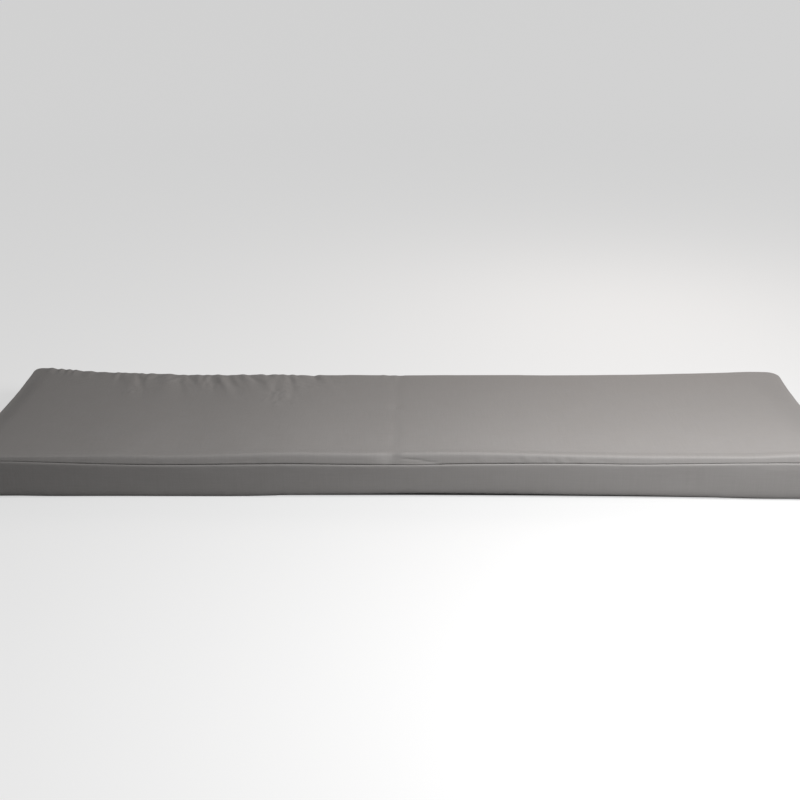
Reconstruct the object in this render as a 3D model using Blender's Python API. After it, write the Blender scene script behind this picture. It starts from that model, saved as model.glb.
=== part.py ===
# A long box cushion for a three-seat bench, lying flat on its underside.
# X runs along the bench, -Y is the front edge and +Z is up. The origin lies under the middle
# of the cushion, on the surface that it rests on. Lengths are in metres, and in the tables
# below in millimetres.

import math
from collections import namedtuple

import bmesh
import bpy

MM = 0.001

PANEL_COLOUR = (0.250, 0.245, 0.240)
BORDER_COLOUR = (0.235, 0.235, 0.232)
CLOTH_ROUGHNESS = 0.75
SHARP_ANGLE = 50  # degrees between two faces, above which their edge is not shaded smooth

# ---- driving dimensions -------------------------------------------------------------------
LENGTH = 1.500  # over the two ends
DEPTH = 0.430  # from the front edge to the back edge
FRONT_PULL = 0.009  # how far the filling draws in the middle of the front edge
BACK_PULL = 0.013  # the same for the back edge
END_PULL = 0.006  # the same for each end
CROWN = 0.0035  # rise of the top panel between its front and back edges
CLOTH = 0.002  # thickness of the border strips
GAP = 0.0003  # between two pieces that touch
UNDER_ROLL = 0.012  # width of the rolled edge of the bottom panel
CORNER_CUT = 0.0003  # what each border strip is short of the corner seam
BORDER_SPACING = 0.030  # the least length of one straight piece of a border
NEAR_CORNER = 0.100  # within this, a border keeps all its sections

# One row for each section along an edge: where it is, and the heights of the border's lower
# seam, of its upper seam and of the rolled edge of the top panel above it.
Section = namedtuple("Section", "along low seam top")
FRONT = [
    Section(-750, 4.0, 68.0, 75.5),
    Section(-670, 4.5, 68.0, 75.5),
    Section(-590, 3.0, 65.0, 75.0),
    Section(-480, 2.5, 61.0, 75.5),
    Section(-380, 2.0, 59.5, 75.0),
    Section(-260, 2.0, 60.5, 77.5),
    Section(-180, 4.0, 61.0, 79.5),
    Section(-80, 5.5, 60.0, 79.5),
    Section(20, 7.5, 60.0, 79.5),
    Section(120, 7.5, 62.0, 80.0),
    Section(200, 7.0, 63.0, 79.5),
    Section(280, 6.0, 63.5, 78.5),
    Section(400, 5.5, 63.0, 76.0),
    Section(500, 4.5, 65.0, 76.0),
    Section(590, 3.0, 67.5, 75.5),
    Section(670, 3.5, 68.5, 75.0),
    Section(750, 4.0, 68.5, 75.5),
]
BACK = [
    Section(-750, 6.0, 69.0, 82.0),
    Section(-690, 5.0, 67.5, 81.0),
    Section(-560, 4.0, 63.5, 76.5),
    Section(-400, 3.5, 61.0, 73.5),
    Section(-280, 4.0, 62.5, 75.5),
    Section(-100, 5.0, 61.5, 74.0),
    Section(0, 6.0, 60.5, 73.0),
    Section(200, 5.0, 61.5, 74.0),
    Section(320, 4.0, 61.0, 73.5),
    Section(480, 4.0, 61.5, 74.5),
    Section(630, 4.0, 64.0, 76.5),
    Section(690, 5.0, 66.0, 78.0),
    Section(750, 5.0, 66.5, 76.5),
]
LEFT = [
    Section(-215, 4.0, 68.0, 75.5),
    Section(-110, 4.0, 66.0, 74.5),
    Section(0, 5.0, 64.5, 74.0),
    Section(110, 4.5, 66.0, 76.0),
    Section(215, 6.0, 69.0, 82.0),
]
RIGHT = [
    Section(-215, 4.0, 68.5, 75.5),
    Section(-110, 4.0, 65.5, 73.0),
    Section(0, 5.0, 63.5, 71.5),
    Section(110, 4.5, 64.0, 72.0),
    Section(215, 5.0, 66.5, 76.5),
]
LEFT_SHOULDER = 0.045  # how far in from each end the top takes up the height of that end
RIGHT_SHOULDER = 0.075

# One row for each corner: its radius in plan, and how far it stands out towards the back.
Corner = namedtuple("Corner", "radius ear")
CORNERS = {
    ("left", "front"): Corner(18, 0),
    ("right", "front"): Corner(18, 0),
    ("left", "back"): Corner(15, 9),
    ("right", "back"): Corner(28, 0),
}
EAR_REACH = 0.075
CORNER_REACH = 0.020  # the edges are not drawn in within this of the ends

# One row for each gather along the back seam, from left to right: where it leaves the seam,
# how far its tip lies to the right, how far it reaches over the top, its half width, and its
# rise above the panel, which is negative in a valley.
Gather = namedtuple("Gather", "start lean reach width rise")
GATHERS = [
    Gather(-578, 8, 65, 8, 1.2),
    Gather(-538, 30, 125, 14, 1.7),
    Gather(-516, 5, 85, 8, -1.7),
    Gather(-497, -8, 120, 9, 1.4),
    Gather(-482, 12, 85, 9, -1.4),
    Gather(-460, 16, 90, 10, 1.0),
    Gather(-436, 24, 135, 12, -1.5),
    Gather(-400, 25, 80, 10, 1.3),
    Gather(-380, 18, 85, 8, -1.2),
    Gather(-366, 46, 125, 9, 1.8),
    Gather(-350, 44, 115, 8, -1.5),
    Gather(-314, 42, 110, 9, 1.8),
    Gather(-301, 46, 105, 8, -1.8),
    Gather(-283, 34, 110, 8, 1.7),
    Gather(-258, 14, 95, 9, -1.5),
    Gather(-239, 22, 95, 8, 1.5),
    Gather(-224, 10, 65, 7, -1.4),
    Gather(-210, 30, 70, 9, 1.0),
    Gather(-174, 12, 50, 7, -1.0),
]

# The shallow crease where the cushion is folded in two for storage.
CREASE_AT = -0.010
CREASE_WIDTH = 0.009
CREASE_DEPTH = 0.0012

# The face of a border from its lower to its upper seam: the share of its height, and how far
# it lies behind the fullest part of the cushion.
Face = namedtuple("Face", "share inset")
BORDER_FACE = [
    Face(0.0, 3.0),
    Face(0.06, 1.3),
    Face(0.25, 0.3),
    Face(0.5, 0.0),
    Face(0.75, 0.4),
    Face(0.95, 0.8),
    Face(1.0, 1.9),
]
LINING_ROWS = (0, 2, 3, 4, 6)  # the rows that the back of the strip follows

# The rolled edge of the top panel, from the upper seam in to the flat of the top.
TOP_ROLL = [
    Face(0.07, 2.6),
    Face(0.22, 1.3),
    Face(0.42, 1.7),
    Face(0.66, 3.8),
    Face(0.87, 7.4),
    Face(1.0, 13.0),
]
UNDER_ROLL_STEPS = 2
UNDER_LIP = 0.0035  # inset of the bottom panel where it meets the lower seam

# ---- spacing of the sections --------------------------------------------------------------
# Distances from each edge at which every grid has a line, close together on the rolled edge.
EDGE_LINES = [TOP_ROLL[-1].inset, 15, 18, 22, 28, 38, 52]
Stretch = namedtuple("Stretch", "start end step")
COLUMNS = [
    Stretch(-698, -590, 36),
    Stretch(-590, -160, 10.5),
    Stretch(-160, -30, 32),
    Stretch(-30, 10, 8),
    Stretch(10, 698, 43),
]
ROWS = [Stretch(-163, 60, 45), Stretch(60, 163, 17)]


def ease(value):
    value = min(max(value, 0.0), 1.0)
    return value * value * (3 - 2 * value)


def bell(distance, width):
    return math.exp(-((distance / width) ** 2))


def read_table(rows, along):
    """The section at one place along an edge, on a smooth curve through the table's rows."""
    along = min(max(along / MM, rows[0].along), rows[-1].along)
    last = len(rows) - 1
    k = max(i for i in range(last) if rows[i].along <= along)
    before, here, there, after = (rows[min(max(k + i, 0), last)] for i in (-1, 0, 1, 2))
    span = there.along - here.along
    t = (along - here.along) / span
    values = []
    for column in ("low", "seam", "top"):
        a, b, c, d = (getattr(row, column) for row in (before, here, there, after))
        rise_b = (c - a) / (there.along - before.along) * span
        rise_c = (d - b) / (after.along - here.along) * span
        value = (
            (2 * t**3 - 3 * t**2 + 1) * b
            + (t**3 - 2 * t**2 + t) * rise_b
            + (3 * t**2 - 2 * t**3) * c
            + (t**3 - t**2) * rise_c
        )
        values.append(value * MM)
    return Section(along * MM, *values)


def grid_lines(stretches, half_side):
    """Where the grid has its lines, from one edge to the other."""
    edge = [half_side - line * MM for line in EDGE_LINES]
    inner = []
    for stretch in stretches:
        count = max(1, round((stretch.end - stretch.start) / stretch.step))
        for i in range(count):
            inner.append((stretch.start + (stretch.end - stretch.start) * i / count) * MM)
    inner.append(stretches[-1].end * MM)
    return [-x for x in edge[:-1]] + inner + edge[:-1][::-1]


def corner_at(x, y):
    return CORNERS["right" if x > 0 else "left", "back" if y > 0 else "front"]


def rounded(x, y, inset):
    """Moves a point of the square-cornered plan onto the ring at this inset with round corners."""
    radius = corner_at(x, y).radius * MM
    from_end = LENGTH / 2 - abs(x)
    from_side = DEPTH / 2 - abs(y)
    if from_end >= radius or from_side >= radius:
        if from_side < from_end:
            return x, math.copysign(DEPTH / 2 - inset, y)
        return math.copysign(LENGTH / 2 - inset, x), y
    near, far = sorted((from_end, from_side))
    angle = math.radians(45) * (radius - far) / (radius - near)
    if from_end < from_side:
        angle = math.radians(90) - angle
    arm = radius - inset
    return (
        math.copysign(LENGTH / 2 - radius + arm * math.sin(angle), x),
        math.copysign(DEPTH / 2 - radius + arm * math.cos(angle), y),
    )


def drawn_in(x, y):
    """The plan with its edges pulled in between the corners, and the corner that stands out."""
    along = min(1.0, abs(x) / (LENGTH / 2 - CORNER_REACH))
    across = min(1.0, abs(y) / (DEPTH / 2 - CORNER_REACH))
    to_back = 0.5 + y / DEPTH
    pull = FRONT_PULL * (1 - to_back) - BACK_PULL * to_back
    ear = corner_at(x, y).ear * MM
    off_corner = math.hypot(LENGTH / 2 - abs(x), DEPTH / 2 - abs(y))
    return (
        x * (1 - END_PULL * 2 / LENGTH * (1 - across**2)),
        y + pull * (1 - along**2.5) + ear * bell(off_corner, EAR_REACH),
    )


def gathers_at(x, y):
    """Height of the gathers and of the storage crease over the panel."""
    from_back = DEPTH / 2 - y
    height = 0.0
    for gather in GATHERS:
        reached = from_back / (gather.reach * MM)
        if reached < 1.2:
            middle = (gather.start + gather.lean * reached) * MM
            width = gather.width * MM * (0.8 + 0.5 * reached)
            fade = ease(1.2 - reached) * (0.45 + 0.55 * ease(4 * reached))
            height += gather.rise * MM * fade * bell(x - middle, width)
    fade = 0.35 + 0.65 * abs(2 * y / DEPTH)
    return height - CREASE_DEPTH * fade * bell(x - CREASE_AT, CREASE_WIDTH)


def crest_at(x, y):
    """Height of the top panel at a point of the square-cornered plan."""
    to_back = 0.5 + y / DEPTH
    height = read_table(FRONT, x).top * (1 - to_back) + read_table(BACK, x).top * to_back
    for rows, end, shoulder in ((LEFT, -1, LEFT_SHOULDER), (RIGHT, 1, RIGHT_SHOULDER)):
        corner = [FRONT[0], BACK[0]] if end < 0 else [FRONT[-1], BACK[-1]]
        inner = corner[0].top * MM * (1 - to_back) + corner[1].top * MM * to_back
        drop = read_table(rows, y).top - inner
        height += drop * (1 - ease((LENGTH / 2 - end * x) / shoulder))
    return height


def top_height(x, y):
    across = (2 * y / DEPTH) ** 2
    along = (2 * x / LENGTH) ** 6
    return crest_at(x, y) + CROWN * (1 - across) * (1 - along) + gathers_at(x, y)


# ---- cross-sections -----------------------------------------------------------------------
def border_lining(clearance):
    """The back of a border strip, or the wall that clears it, as insets and shares of height."""
    rows = [BORDER_FACE[k] for k in LINING_ROWS]
    return [(row.inset * MM + CLOTH + clearance, row.share) for row in rows]


def border_outline(section):
    """Cross-section of a border strip, as insets and heights: up its face, down its back."""
    low = section.low + GAP
    height = section.seam - GAP - low
    face = [(row.inset * MM, row.share) for row in BORDER_FACE]
    return [(inset, low + height * share) for inset, share in face + border_lining(0)[::-1]]


def filling_outline(section):
    """Side of the filled cushion, from its flat underside up to the flat of its top."""
    outline = []
    for step in range(UNDER_ROLL_STEPS + 1):
        angle = math.radians(90) * step / UNDER_ROLL_STEPS
        inset = UNDER_ROLL - (UNDER_ROLL - UNDER_LIP) * math.sin(angle)
        outline.append((inset, (section.low - GAP) * (1 - math.cos(angle))))
    height = section.seam - section.low
    outline += [(inset, section.low + height * share) for inset, share in border_lining(GAP)]
    height = section.top - section.seam
    outline += [(row.inset * MM, section.seam + height * row.share) for row in TOP_ROLL]
    return outline


# ---- stations round the cushion -----------------------------------------------------------
Station = namedtuple("Station", "x y section")


def station_at(x, y):
    """A place on the edge of the top's grid, with the seam heights below it."""
    if DEPTH / 2 - abs(y) <= LENGTH / 2 - abs(x):
        section = read_table(FRONT if y < 0 else BACK, x)
    else:
        section = read_table(LEFT if x < 0 else RIGHT, y)
    return Station(x, y, section._replace(top=top_height(x, y)))


def placed(station, inset, height):
    x, y = drawn_in(*rounded(station.x, station.y, inset))
    return x, y, height


def thinned(stations, spacing):
    """Leaves out stations that follow another closely, except round the corners."""
    kept = [stations[0]]
    for station, following in zip(stations[1:], stations[2:]):
        from_end = LENGTH / 2 - abs(station.x)
        from_side = DEPTH / 2 - abs(station.y)
        gap = math.hypot(following.x - kept[-1].x, following.y - kept[-1].y)
        if max(from_end, from_side) < NEAR_CORNER or gap > spacing:
            kept.append(station)
    return kept + [stations[-1]]


# ---- pieces -------------------------------------------------------------------------------
def cloth_material(name, colour):
    material = bpy.data.materials.new(name)
    material.use_nodes = True
    shader = material.node_tree.nodes["Principled BSDF"]
    shader.inputs["Base Color"].default_value = (*colour, 1)
    shader.inputs["Roughness"].default_value = CLOTH_ROUGHNESS
    shader.inputs["Metallic"].default_value = 0
    return material


def add_piece(name, bm, material):
    bmesh.ops.recalc_face_normals(bm, faces=bm.faces)
    mesh = bpy.data.meshes.new(name)
    bm.to_mesh(mesh)
    bm.free()
    mesh.materials.append(material)
    mesh.shade_smooth()
    mesh.set_sharp_from_angle(angle=math.radians(SHARP_ANGLE))
    piece = bpy.data.objects.new(name, mesh)
    bpy.context.collection.objects.link(piece)
    return piece


def build_filled_cushion(columns, rows):
    """The top and bottom panels drawn round the filling, with a recess for the borders."""
    bm = bmesh.new()
    last_x, last_y = len(columns) - 1, len(rows) - 1
    rim = [(i, 0) for i in range(last_x)] + [(last_x, j) for j in range(last_y)]
    rim += [(i, last_y) for i in range(last_x, 0, -1)] + [(0, j) for j in range(last_y, 0, -1)]
    stations = [station_at(columns[i], rows[j]) for i, j in rim]
    outlines = [filling_outline(station.section) for station in stations]
    rings = []
    for level in range(len(outlines[0])):
        points = [placed(at, *outline[level]) for at, outline in zip(stations, outlines)]
        rings.append([bm.verts.new(point) for point in points])
    for lower, upper in zip(rings, rings[1:]):
        for k in range(len(rim)):
            after = (k + 1) % len(rim)
            bm.faces.new((lower[k], lower[after], upper[after], upper[k]))
    bm.faces.new(rings[0][::-1])

    top = dict(zip(rim, rings[-1]))
    for i in range(1, last_x):
        for j in range(1, last_y):
            x, y = columns[i], rows[j]
            inset = min(LENGTH / 2 - abs(x), DEPTH / 2 - abs(y))
            top[i, j] = bm.verts.new((*drawn_in(*rounded(x, y, inset)), top_height(x, y)))
    for i in range(last_x):
        for j in range(last_y):
            bm.faces.new((top[i, j], top[i + 1, j], top[i + 1, j + 1], top[i, j + 1]))
    return add_piece("filled_cushion", bm, cloth_material("panel cloth", PANEL_COLOUR))


def build_border(name, places):
    """A strip of cloth between the two seams, along the places of one side of the cushion."""
    bm = bmesh.new()
    loops = []
    for station in thinned([station_at(x, y) for x, y in places], BORDER_SPACING):
        outline = border_outline(station.section)
        loops.append([bm.verts.new(placed(station, *point)) for point in outline])
    for end, beside in ((loops[0], loops[1]), (loops[-1], loops[-2])):
        for vert, inner in zip(end, beside):
            vert.co += (inner.co - vert.co).normalized() * CORNER_CUT
    for loop, following in zip(loops, loops[1:]):
        for k in range(len(loop)):
            before = k - 1
            bm.faces.new((loop[before], loop[k], following[k], following[before]))
    bm.faces.new(loops[0])
    bm.faces.new(loops[-1][::-1])
    return add_piece(name, bm, cloth_material(name + " cloth", BORDER_COLOUR))


def centre_over_origin(pieces):
    """Puts the middle of the cushion's footprint on the origin and its underside at zero."""
    corners = [piece.bound_box[k] for piece in pieces for k in range(8)]
    shift = [-(min(axis) + max(axis)) / 2 for axis in zip(*corners)]
    shift[2] = -min(corner[2] for corner in corners)
    for piece in pieces:
        for vertex in piece.data.vertices:
            vertex.co.x += shift[0]
            vertex.co.y += shift[1]
            vertex.co.z += shift[2]


def main():
    for thing in list(bpy.data.objects):
        bpy.data.objects.remove(thing, do_unlink=True)
    columns = grid_lines(COLUMNS, LENGTH / 2)
    rows = grid_lines(ROWS, DEPTH / 2)
    pieces = [
        build_filled_cushion(columns, rows),
        build_border("border_front", [(x, rows[0]) for x in columns]),
        build_border("border_back", [(x, rows[-1]) for x in columns]),
        build_border("border_left", [(columns[0], y) for y in rows]),
        build_border("border_right", [(columns[-1], y) for y in rows]),
    ]
    centre_over_origin(pieces)


main()
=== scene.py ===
import math
from collections import namedtuple

import bpy
import numpy as np
from mathutils import Matrix, Vector


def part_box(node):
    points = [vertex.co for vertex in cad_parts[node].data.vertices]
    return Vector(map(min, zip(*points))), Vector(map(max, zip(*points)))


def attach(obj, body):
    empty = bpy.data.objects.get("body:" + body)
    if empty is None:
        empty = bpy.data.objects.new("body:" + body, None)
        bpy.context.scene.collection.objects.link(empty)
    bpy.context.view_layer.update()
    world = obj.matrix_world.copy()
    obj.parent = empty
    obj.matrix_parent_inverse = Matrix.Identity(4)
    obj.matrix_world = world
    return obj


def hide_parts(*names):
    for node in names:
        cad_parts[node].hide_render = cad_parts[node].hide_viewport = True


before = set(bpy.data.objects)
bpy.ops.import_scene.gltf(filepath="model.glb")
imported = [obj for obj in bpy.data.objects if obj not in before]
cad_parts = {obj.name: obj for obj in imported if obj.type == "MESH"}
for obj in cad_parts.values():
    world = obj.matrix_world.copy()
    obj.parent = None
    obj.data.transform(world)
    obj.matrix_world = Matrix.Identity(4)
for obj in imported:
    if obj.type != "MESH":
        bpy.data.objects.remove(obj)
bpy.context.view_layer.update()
print("frame loaded")

# Lengths are in metres. The tables further down are in millimetres, as a maker notes them.
mm = 0.001


# The camera stands at the photograph's angle to the cushion.
photoCamera = {
    "place": (0.0411, -1.8841, 0.828),
    "focalPixels": 1103.2,
    "framePixels": 800,
    "sensor": 36.0,  # millimetres
    "downwards": 21.25,  # this angle and the next two are in degrees
    "leftwards": 1.313,
    "tilt": 0.38,
}


def buildCamera(look):
    down, left, tilt = (math.radians(look[k]) for k in ("downwards", "leftwards", "tilt"))
    flat = math.cos(down)
    forward = Vector((-math.sin(left) * flat, math.cos(left) * flat, -math.sin(down)))
    level = Vector((math.cos(left), math.sin(left), 0))
    above = level.cross(forward)
    right = level * math.cos(tilt) - above * math.sin(tilt)
    up = level * math.sin(tilt) + above * math.cos(tilt)
    data = bpy.data.cameras.new("photo_camera")
    data.sensor_width = look["sensor"]
    data.lens = look["focalPixels"] / look["framePixels"] * look["sensor"]
    camera = bpy.data.objects.new("photo_camera", data)
    bpy.context.scene.collection.objects.link(camera)
    turn = Matrix((right, up, -forward)).transposed().to_4x4()
    camera.matrix_world = Matrix.Translation(look["place"]) @ turn
    bpy.context.scene.camera = camera


buildCamera(photoCamera)
print("camera placed")


# ---- the form of the cushion, shared by its pieces ----
cushion = {
    "length": 1.500,
    "depth": 0.430,
    "frontPull": 0.009,  # how far an edge draws in between its corners
    "backPull": 0.013,
    "endPull": 0.006,
    "longCurve": 2.5,  # the higher this is, the straighter a long edge is in its middle
    "crown": 0.0035,
    "crownEnds": 6,  # the higher this is, the nearer the ends the crown comes down
    "rollWidth": 0.013,  # the rolled edge of the top panel, in plan
    "rollRise": 0.014,  # its usual height above the seam
    "underRoll": 0.013,
    "wallHeight": 0.06,  # its usual height between the seams
    "earReach": 0.075,
    "cornerReach": 0.020,  # the edges are not drawn in within this of the ends
    "leftShoulder": 0.045,  # how far in from an end the top takes up that end's height
    "rightShoulder": 0.075,
}

# One row for each section along an edge: where it is, and the heights of the border's lower
# seam, of its upper seam and of the top panel where its rolled edge ends.
Section = namedtuple("Section", "along low seam top")
frontSections = [
    Section(-750, 4.0, 68.0, 75.5),
    Section(-670, 4.5, 68.0, 75.5),
    Section(-590, 3.0, 65.0, 75.0),
    Section(-480, 2.5, 61.0, 75.5),
    Section(-380, 2.0, 59.5, 73.8),
    Section(-260, 2.0, 60.5, 76.8),
    Section(-180, 4.0, 61.0, 79.0),
    Section(-80, 5.5, 60.0, 78.0),
    Section(20, 7.5, 60.0, 79.5),
    Section(120, 7.5, 62.0, 80.4),
    Section(200, 7.0, 63.0, 79.0),
    Section(280, 6.0, 63.5, 77.0),
    Section(400, 5.5, 63.0, 75.5),
    Section(500, 4.5, 65.0, 76.2),
    Section(590, 3.0, 67.2, 77.2),
    Section(670, 3.5, 68.2, 81.5),
    Section(750, 4.0, 68.5, 79.0),
]
backSections = [
    Section(-750, 6.0, 69.0, 82.0),
    Section(-690, 5.0, 67.5, 81.0),
    Section(-560, 4.0, 63.5, 76.5),
    Section(-400, 3.5, 61.0, 73.5),
    Section(-280, 4.0, 62.5, 75.5),
    Section(-100, 5.0, 61.5, 74.0),
    Section(0, 6.0, 60.5, 73.0),
    Section(200, 5.0, 61.5, 74.0),
    Section(320, 4.0, 61.0, 73.5),
    Section(480, 4.0, 61.5, 74.5),
    Section(630, 4.0, 64.0, 76.5),
    Section(690, 5.0, 66.0, 78.0),
    Section(750, 5.0, 66.5, 76.5),
]
leftSections = [
    Section(-215, 4.0, 68.0, 75.5),
    Section(-110, 4.0, 66.0, 74.5),
    Section(0, 5.0, 64.5, 74.0),
    Section(110, 4.5, 66.0, 76.0),
    Section(215, 6.0, 69.0, 82.0),
]
rightSections = [
    Section(-215, 4.0, 68.5, 79.0),
    Section(-110, 4.0, 65.5, 73.0),
    Section(0, 5.0, 63.5, 71.5),
    Section(110, 4.5, 64.0, 72.0),
    Section(215, 5.0, 66.5, 76.5),
]

# One row for each corner: its radius in plan, and how far it stands out towards the back.
Corner = namedtuple("Corner", "radius ear")
corners = {
    ("left", "front"): Corner(18, 0),
    ("right", "front"): Corner(18, 0),
    ("left", "back"): Corner(15, 9),
    ("right", "back"): Corner(28, 0),
}

halfLength = cushion["length"] / 2
halfDepth = cushion["depth"] / 2
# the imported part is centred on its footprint, which the corner that stands out shifts
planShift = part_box("border_front")[0].y + halfDepth


def ease(value):
    value = np.clip(value, 0.0, 1.0)
    return value * value * (3 - 2 * value)


def bell(distance, width):
    return np.exp(-((distance / width) ** 2))


def readSections(rows, along):
    # the section at each place along an edge, on a smooth curve through the rows
    table = np.array(rows) * mm
    places = table[:, 0]
    last = len(rows) - 1
    along = np.clip(along, places[0], places[-1])
    k = np.clip(np.searchsorted(places, along, side="right") - 1, 0, last - 1)
    before, here, there, after = (table[np.clip(k + i, 0, last)] for i in (-1, 0, 1, 2))
    span = (there - here)[..., :1]
    t = (along[..., None] - here[..., :1]) / span
    slopeHere = (there - before) / (there - before)[..., :1] * span
    slopeThere = (after - here) / (after - here)[..., :1] * span
    value = (
        (2 * t**3 - 3 * t**2 + 1) * here
        + (t**3 - 2 * t**2 + t) * slopeHere
        + (3 * t**2 - 2 * t**3) * there
        + (t**3 - t**2) * slopeThere
    )
    return Section(along, *(value[..., column] for column in (1, 2, 3)))


def cornerValue(column, x, y):
    value = np.zeros(np.broadcast(x, y).shape)
    for (end, side), corner in corners.items():
        here = ((x > 0) == (end == "right")) & ((y > 0) == (side == "back"))
        value = np.where(here, getattr(corner, column) * mm, value)
    return value


def outwards(x, y):
    # the direction off the edge at a point of the square-cornered plan, turning round corners
    radius = cornerValue("radius", x, y)
    fromEnd, fromSide = halfLength - np.abs(x), halfDepth - np.abs(y)
    near, far = np.minimum(fromEnd, fromSide), np.maximum(fromEnd, fromSide)
    turned = np.clip((radius - far) / np.maximum(radius - near, 1e-9), 0, 1) * math.radians(45)
    angle = np.where(fromEnd < fromSide, math.radians(90) - turned, turned)
    return np.copysign(np.sin(angle), x), np.copysign(np.cos(angle), y)


def rounded(x, y, inset):
    # a point of the square-cornered plan, moved onto the ring at this inset with round corners
    radius = cornerValue("radius", x, y)
    fromEnd, fromSide = halfLength - np.abs(x), halfDepth - np.abs(y)
    sideFirst = fromSide < fromEnd
    straightX = np.where(sideFirst, x, np.copysign(halfLength - inset, x))
    straightY = np.where(sideFirst, np.copysign(halfDepth - inset, y), y)
    outX, outY = outwards(x, y)
    arm = radius - inset
    roundX = np.copysign(halfLength - radius, x) + arm * outX
    roundY = np.copysign(halfDepth - radius, y) + arm * outY
    straight = (fromEnd >= radius) | (fromSide >= radius)
    return np.where(straight, straightX, roundX), np.where(straight, straightY, roundY)


def drawnIn(x, y):
    # the plan with its edges pulled in between the corners, and the corner that stands out
    along = np.minimum(1, np.abs(x) / (halfLength - cushion["cornerReach"]))
    across = np.minimum(1, np.abs(y) / (halfDepth - cushion["cornerReach"]))
    toBack = 0.5 + y / cushion["depth"]
    pull = cushion["frontPull"] * (1 - toBack) - cushion["backPull"] * toBack
    offCorner = np.hypot(halfLength - np.abs(x), halfDepth - np.abs(y))
    ear = cornerValue("ear", x, y) * bell(offCorner, cushion["earReach"])
    return (
        x * (1 - cushion["endPull"] / halfLength * (1 - across**2)),
        y + pull * (1 - along ** cushion["longCurve"]) + ear + planShift,
    )


def crestHeight(x, y):
    # height of the top panel between its edges, before its gathers
    toBack = 0.5 + y / cushion["depth"]
    front, back = readSections(frontSections, x).top, readSections(backSections, x).top
    height = front * (1 - toBack) + back * toBack
    ends = (
        (leftSections, -1, 0, cushion["leftShoulder"]),
        (rightSections, 1, -1, cushion["rightShoulder"]),
    )
    for rows, end, corner, shoulder in ends:
        inner = (frontSections[corner].top * (1 - toBack) + backSections[corner].top * toBack) * mm
        drop = readSections(rows, y).top - inner
        height = height + drop * (1 - ease((halfLength - end * x) / shoulder))
    across = (y / halfDepth) ** 2
    along = (x / halfLength) ** cushion["crownEnds"]
    return height + cushion["crown"] * (1 - across) * (1 - along)


def softNoise(x, y, lumpX, lumpY, seed):
    # smooth noise from -1 to 1, with lumps of this size each way
    size = 128
    offset = (31.7, 47.3)  # keeps the lumps from lining up with the cushion's middle
    table = np.random.default_rng(seed).uniform(-1, 1, (size, size))
    u, v = x / lumpX + offset[0], y / lumpY + offset[1]
    i, j = np.floor(u).astype(int), np.floor(v).astype(int)
    s, t = ease(u - i), ease(v - j)

    def pick(a, b):
        return table[(i + a) % size, (j + b) % size]

    near = pick(0, 0) * (1 - s) + pick(1, 0) * s
    far = pick(0, 1) * (1 - s) + pick(1, 1) * s
    return near * (1 - t) + far * t


def stationSections(x, y):
    # the seam heights below each place on the edge of the top's grid
    side = np.where(halfDepth - np.abs(y) <= halfLength - np.abs(x), np.sign(y), 0)
    result = []
    tables = (
        (side < 0, readSections(frontSections, x)),
        (side > 0, readSections(backSections, x)),
        ((side == 0) & (x < 0), readSections(leftSections, y)),
        ((side == 0) & (x > 0), readSections(rightSections, y)),
    )
    for column in ("low", "seam"):
        result.append(sum(np.where(here, getattr(found, column), 0) for here, found in tables))
    return result


def smoothRows(rows, perRow):
    # points on a smooth curve through a short table of (share, inset), with so many to a row
    table = np.array(rows, float)
    last = len(table) - 1
    places = np.linspace(0, last, last * perRow + 1)
    k = np.minimum(places.astype(int), last - 1)
    t = (places - k)[:, None]
    before, here, there, after = (table[np.clip(k + i, 0, last)] for i in (-1, 0, 1, 2))
    return 0.5 * (
        2 * here
        + (there - before) * t
        + (2 * before - 5 * here + 4 * there - after) * t**2
        + (3 * here - before - 3 * there + after) * t**3
    )


def meshPiece(name, points, faces, pattern, edgeHighlight, material):
    # pattern is where each point lies on the flat cloth, and the array after it how much painted
    # highlight each point has
    mesh = bpy.data.meshes.new(name)
    mesh.from_pydata(points.tolist(), [], faces)
    flat = mesh.uv_layers.new(name="pattern")
    loops = np.zeros(len(mesh.loops), np.int32)
    mesh.loops.foreach_get("vertex_index", loops)
    flat.data.foreach_set("uv", pattern[loops].astype(np.float32).ravel())
    # the painted highlight, kept on each point
    highlit = mesh.attributes.new("edgeHighlight", "FLOAT", "POINT")
    highlit.data.foreach_set("value", edgeHighlight.astype(np.float32))
    mesh.materials.append(material)
    mesh.shade_smooth()
    piece = bpy.data.objects.new(name, mesh)
    bpy.context.scene.collection.objects.link(piece)
    return piece


def raiseAlongNormals(piece, lift):
    # moves each point of the mesh along its own normal
    mesh = piece.data
    points = np.zeros(len(mesh.vertices) * 3, np.float32)
    normals = np.zeros_like(points)
    mesh.vertices.foreach_get("co", points)
    mesh.vertices.foreach_get("normal", normals)
    moved = points.reshape(-1, 3) + normals.reshape(-1, 3) * lift[:, None]
    mesh.vertices.foreach_set("co", moved.astype(np.float32).ravel())
    mesh.update()


def refined(piece):
    # one level of subdivision, applied
    modifier = piece.modifiers.new("finer", "SUBSURF")
    modifier.levels = modifier.render_levels = 1
    graph = bpy.context.evaluated_depsgraph_get()
    mesh = bpy.data.meshes.new_from_object(piece.evaluated_get(graph))
    piece.modifiers.clear()
    coarse, piece.data = piece.data, mesh
    mesh.name = piece.name
    bpy.data.meshes.remove(coarse)


def patternOf(mesh):
    # where each point of a mesh lies on the flat cloth
    loops = np.zeros(len(mesh.loops), np.int32)
    mesh.loops.foreach_get("vertex_index", loops)
    flat = np.zeros(len(mesh.loops) * 2, np.float32)
    mesh.uv_layers["pattern"].data.foreach_get("uv", flat)
    pattern = np.zeros((len(mesh.vertices), 2))
    pattern[loops] = flat.reshape(-1, 2)
    return pattern


def readPoints(mesh, name):
    values = np.zeros(len(mesh.vertices), np.float32)
    mesh.attributes[name].data.foreach_get("value", values)
    return values


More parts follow.
